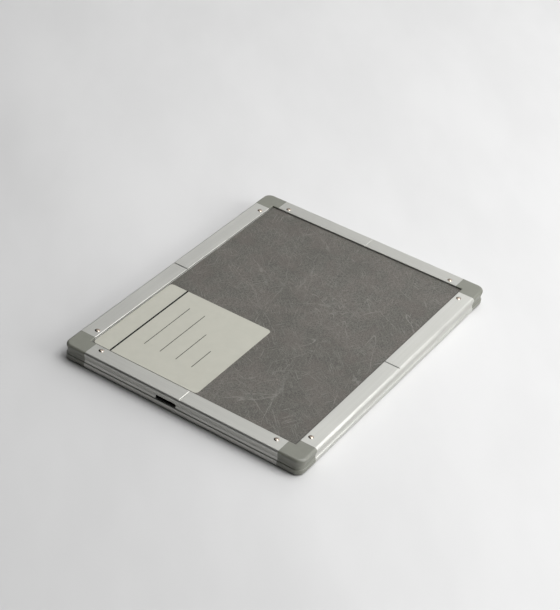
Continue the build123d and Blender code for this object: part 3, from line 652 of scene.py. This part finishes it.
@dataclass
class Piece:
    """A modelled piece that stands for one part of the construction."""

    part: str
    body: str
    slot: str

    def shape(self) -> bmesh.types.BMesh:
        """Mesh of the piece, at its place; each piece writes its own."""
        raise NotImplementedError

    def build(self) -> bpy.types.Object:
        """Makes the object, dresses it and ties it to its body.

        Returns:
            The finished object.
        """
        mesh = bpy.data.meshes.new(self.part + "_form")
        form = self.shape()
        form.to_mesh(mesh)
        form.free()
        piece = bpy.data.objects.new(self.part + "_form", mesh)
        bpy.context.scene.collection.objects.link(piece)
        mesh.shade_smooth()
        mesh.materials.append(FINISHES[self.slot].material())
        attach(piece, self.body)
        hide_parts(self.part)
        LOG.info("%s: %d faces", piece.name, len(mesh.polygons))
        return piece


NOISE_SEED = 7  # the noise of the soft pieces follows the clock without one
CREASE_OFFSET = Vector((3.0, 7.0, 1.0))  # keeps the creases apart from the waves
CREASE_FRACTAL = (0.8, 2.1, 3)  # roughness, step in scale and number of layers


@dataclass
class Covering(Piece):
    """Leathercloth glued to a panel: a thin sheet with rolled edges, waves and creases."""

    facing: Facing = Facing.UP
    pitch: float = 0.8 * MM
    wave: float = 0.05 * MM
    crease: float = 0.07 * MM
    edge_roll: float = 0.22 * MM
    edge_width: float = 1.0 * MM
    waves: float = 28.0
    creases: float = 42.0
    crease_width: float = 0.06
    patches: float = 16.0
    patch_contrast: float = 3.0
    patch_level: float = 0.4

    def shape(self) -> bmesh.types.BMesh:
        """Grid over the panel, pressed down in places, with its rim turned to the panel."""
        low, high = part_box(self.part)
        size = high - low
        middle = (low + high) / 2
        form = bmesh.new()
        cells = [round(size[axis] / self.pitch) for axis in (0, 1)]
        bmesh.ops.create_grid(form, x_segments=cells[0], y_segments=cells[1], size=0.5)
        bmesh.ops.scale(form, vec=(size.x, size.y, 1.0), verts=form.verts)
        for vert in form.verts:
            vert.co.z = -self.hollow(vert.co, size)
        rim = [edge for edge in form.edges if edge.is_boundary]
        skirt = bmesh.ops.extrude_edge_only(form, edges=rim)
        for vert in (item for item in skirt["geom"] if isinstance(item, bmesh.types.BMVert)):
            vert.co.z = -size.z
        rim = [edge for edge in form.edges if edge.is_boundary]
        bmesh.ops.contextual_create(form, geom=rim)
        if self.facing is Facing.DOWN:
            bmesh.ops.rotate(form, verts=form.verts, matrix=Matrix.Rotation(math.pi, 3, "X"))
        top = high.z if self.facing is Facing.UP else low.z
        bmesh.ops.translate(form, vec=(middle.x, middle.y, top), verts=form.verts)
        bmesh.ops.recalc_face_normals(form, faces=form.faces)
        return form

    def hollow(self, point: Vector, size: Vector) -> float:
        """Depth of the sheet's face below its highest level.

        Args:
            point: place on the sheet, from its middle.
            size: size of the sheet.

        Returns:
            Depth in metres, never negative.
        """
        flat = Vector((point.x, point.y, 0.0))
        wave = 0.5 + 0.5 * noise.noise(flat * self.waves)
        field = noise.fractal(flat * self.creases + CREASE_OFFSET, *CREASE_FRACTAL)
        line = max(0.0, 1.0 - abs(field) / self.crease_width)
        patch = noise.noise(flat * self.patches) * self.patch_contrast + self.patch_level
        shown = min(1.0, max(0.0, patch))
        margin = min(size.x / 2 - abs(point.x), size.y / 2 - abs(point.y))
        roll = max(0.0, 1.0 - margin / self.edge_width) ** 2
        return self.wave * max(0.0, wave) + self.crease * line * shown + self.edge_roll * roll

    def build(self) -> bpy.types.Object:
        """Makes the covering.

        Returns:
            The finished object.
        """
        piece = super().build()
        return piece


@dataclass
class PressurePad(Piece):
    """Foam pad under the back screen, pressed flat above and below, with soft sides."""

    cuts: int = 72
    bulge: float = 0.55 * MM
    cell: float = 0.05 * MM
    cells: float = 900.0
    side_from: float = 0.499

    def shape(self) -> bmesh.types.BMesh:
        """Block with fine cells, whose sides swell between its pressed faces."""
        low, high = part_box(self.part)
        size = high - low
        middle = (low + high) / 2
        form = bmesh.new()
        bmesh.ops.create_cube(form, size=1.0)
        bmesh.ops.subdivide_edges(form, edges=form.edges, cuts=self.cuts, use_grid_fill=True)
        for vert in form.verts:
            side = max(abs(vert.co.x), abs(vert.co.y)) > self.side_from
            level = 2 * vert.co.z
            swell = (1 - level * level) * self.bulge - self.bulge if side else 0.0
            grow = Vector((1 + 2 * swell / size.x, 1 + 2 * swell / size.y, 1.0))
            vert.co = Vector((vert.co.x * size.x * grow.x, vert.co.y * size.y * grow.y, vert.co.z * size.z))
            vert.co += noise.noise_vector(vert.co * self.cells) * self.cell * (1.0 if side else 0.0)
        bmesh.ops.translate(form, vec=middle, verts=form.verts)
        bmesh.ops.recalc_face_normals(form, faces=form.faces)
        return form

    def build(self) -> bpy.types.Object:
        """Makes the pad.

        Returns:
            The finished object.
        """
        piece = super().build()
        return piece


@dataclass
class FeltStrip(Piece):
    """Felt seal in the roof of the light trap's groove, with a fuzzy lower face."""

    pitch: float = 0.8 * MM
    fuzz: float = 0.05 * MM
    fibres: float = 4000.0
    sideways: float = 0.3
    least_steps: int = 2
    long_from: int = 5

    def shape(self) -> bmesh.types.BMesh:
        """Strip cut in short lengths, roughened all over but its glued face."""
        low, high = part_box(self.part)
        size = high - low
        form = bmesh.new()
        bmesh.ops.create_cube(form, size=1.0)
        bmesh.ops.scale(form, vec=size, verts=form.verts)
        for axis in range(3):
            is_long = size[axis] > self.long_from * self.pitch
            steps = round(size[axis] / self.pitch) if is_long else self.least_steps
            for step in range(1, steps):
                place = Vector((0.0, 0.0, 0.0))
                place[axis] = size[axis] * (step / steps - 0.5)
                normal = Vector([float(i == axis) for i in range(3)])
                geometry = form.verts[:] + form.edges[:] + form.faces[:]
                bmesh.ops.bisect_plane(form, geom=geometry, plane_co=place, plane_no=normal)
        for vert in form.verts:
            if vert.co.z < size.z / 2 - self.fuzz:
                rough = noise.noise_vector(vert.co * self.fibres) * self.fuzz
                vert.co += Vector((rough.x * self.sideways, rough.y * self.sideways, abs(rough.z)))
        bmesh.ops.translate(form, vec=(low + high) / 2, verts=form.verts)
        bmesh.ops.recalc_face_normals(form, faces=form.faces)
        return form


@dataclass
class SoftPieces:
    """The coverings, the pressure pad and the felt seals."""

    def pieces(self) -> list[Piece]:
        """Every soft piece of the cassette."""
        seals = [FeltStrip(f"light_seal_{place}", "front_tray", "felt") for place in SIDES + ENDS]
        return [
            Covering("front_covering", "front_tray", "grained_covering"),
            Covering("back_covering", "back_cover", "grained_covering", facing=Facing.DOWN, pitch=1.2 * MM),
            PressurePad("foam_pad", "back_cover", "foam"),
            *seals,
        ]

    def build(self) -> None:
        """Builds each soft piece, with the same roughness in every run."""
        noise.seed_set(NOISE_SEED)
        for piece in self.pieces():
            piece.build()


# ---------------------------------------------------------------- studio


@dataclass(frozen=True)
class Viewpoint:
    """The camera, as it stood for the photograph."""

    target: tuple[float, float, float] = (0.00693, 0.00761, 0.01459)
    distance: float = 1.2762
    azimuth: float = -60.28
    elevation: float = 35.99
    roll: float = 6.48
    lens: float = 100.2
    sensor: float = 36.0
    clip: tuple[float, float] = (0.05, 100.0)

    def build(self) -> None:
        """Places the camera and makes it the scene's own."""
        turn, rise = math.radians(self.azimuth), math.radians(self.elevation)
        back = Vector((math.sin(turn) * math.cos(rise), -math.cos(turn) * math.cos(rise), math.sin(rise)))
        data = bpy.data.cameras.new("photo_camera")
        data.sensor_width = self.sensor
        data.lens = self.lens
        data.clip_start, data.clip_end = self.clip
        camera = bpy.data.objects.new("photo_camera", data)
        camera.location = Vector(self.target) + back * self.distance
        camera.rotation_mode = "QUATERNION"
        level = (-back).to_track_quat("-Z", "Y")
        camera.rotation_quaternion = level @ Quaternion((0.0, 0.0, 1.0), math.radians(self.roll))
        bpy.context.scene.collection.objects.link(camera)
        bpy.context.scene.camera = camera


@dataclass(frozen=True)
class TentPanel:
    """One lit square of the light tent, which looks at the middle of the cassette."""

    azimuth: float
    elevation: float
    power: float
    reach: float = 1.5
    side: float = 0.9

    def build(self) -> None:
        """Hangs the panel at its place."""
        turn, rise = math.radians(self.azimuth), math.radians(self.elevation)
        place = Vector((math.cos(turn) * math.cos(rise), math.sin(turn) * math.cos(rise), math.sin(rise)))
        name = f"tent_{self.azimuth:.0f}_{self.elevation:.0f}"
        data = bpy.data.lights.new(name, "AREA")
        data.shape = "SQUARE"
        data.size = self.side
        data.energy = self.power
        lamp = bpy.data.objects.new(name, data)
        lamp.location = place * self.reach
        lamp.rotation_mode = "QUATERNION"
        lamp.rotation_quaternion = (-place).to_track_quat("-Z", "Y")
        bpy.context.scene.collection.objects.link(lamp)


@dataclass(frozen=True)
class Studio:
    """Pale floor under a light tent, with a pale sky behind that hardly lights the cassette."""

    floor_radius: float = 1.3
    floor_segments: int = 96
    panels: tuple[TentPanel, ...] = (
        TentPanel(-75, 20, 14.3),
        TentPanel(-40, 20, 1.2),
        TentPanel(0, 20, 3.5),
        TentPanel(40, 20, 1.8),
        TentPanel(-110, 45, 3.8),
        TentPanel(-70, 45, 1.7),
        TentPanel(-30, 45, 1.9),
        TentPanel(10, 45, 1.7),
        TentPanel(50, 45, 0.4),
        TentPanel(-60, 68, 13.3),
        TentPanel(0, 68, 0.6),
        TentPanel(60, 68, 2.8),
    )
    surround_dark: str = "a0a0a0"
    surround_light: str = "f0f0f0"
    surround_toward: tuple[float, float, float] = (0.55, -0.75, 0.35)
    surround_range: tuple[float, float] = (-0.6, 0.8)
    surround_strength: float = 0.02
    sky_strength: float = 0.95

    def build(self) -> None:
        """Lays the floor, hangs the panels and sets the surround."""
        form = bmesh.new()
        bmesh.ops.create_circle(
            form, cap_ends=True, segments=self.floor_segments, radius=self.floor_radius)
        mesh = bpy.data.meshes.new("studio_floor")
        form.to_mesh(mesh)
        form.free()
        mesh.materials.append(FINISHES["floor"].material())
        floor = bpy.data.objects.new("studio_floor", mesh)
        bpy.context.scene.collection.objects.link(floor)
        for panel in self.panels:
            panel.build()
        self.surround()
        bpy.context.scene.view_settings.view_transform = "Standard"

    def surround(self) -> None:
        """Sky behind the floor and its weak light, darker towards the left side and the latch end."""
        world = bpy.data.worlds.new("studio_surround")
        world.use_nodes = True
        world.node_tree.nodes.clear()
        tree = Tree(world.node_tree)
        direction = tree.add("TexCoord").outputs["Generated"]
        share = tree.span(tree.along(direction, self.surround_toward), *self.surround_range)
        color = tree.blend(share, paint(self.surround_dark), paint(self.surround_light))
        seen = tree.add("LightPath").outputs["Is Camera Ray"]
        strength = tree.span(seen, 0.0, 1.0, self.surround_strength, self.sky_strength)
        light = tree.add("Background", {"Color": color, "Strength": strength})
        tree.add("OutputWorld", {"Surface": light.outputs[0]})
        bpy.context.scene.world = world


def main() -> None:
    """Builds the camera, the cassette's looks and the studio."""
    logging.basicConfig(level=logging.INFO, format="%(name)s %(message)s")
    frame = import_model()
    Viewpoint().build()
    Hardware(frame).dress()
    SoftPieces().build()
    Studio().build()


if __name__ == "__main__":
    main()
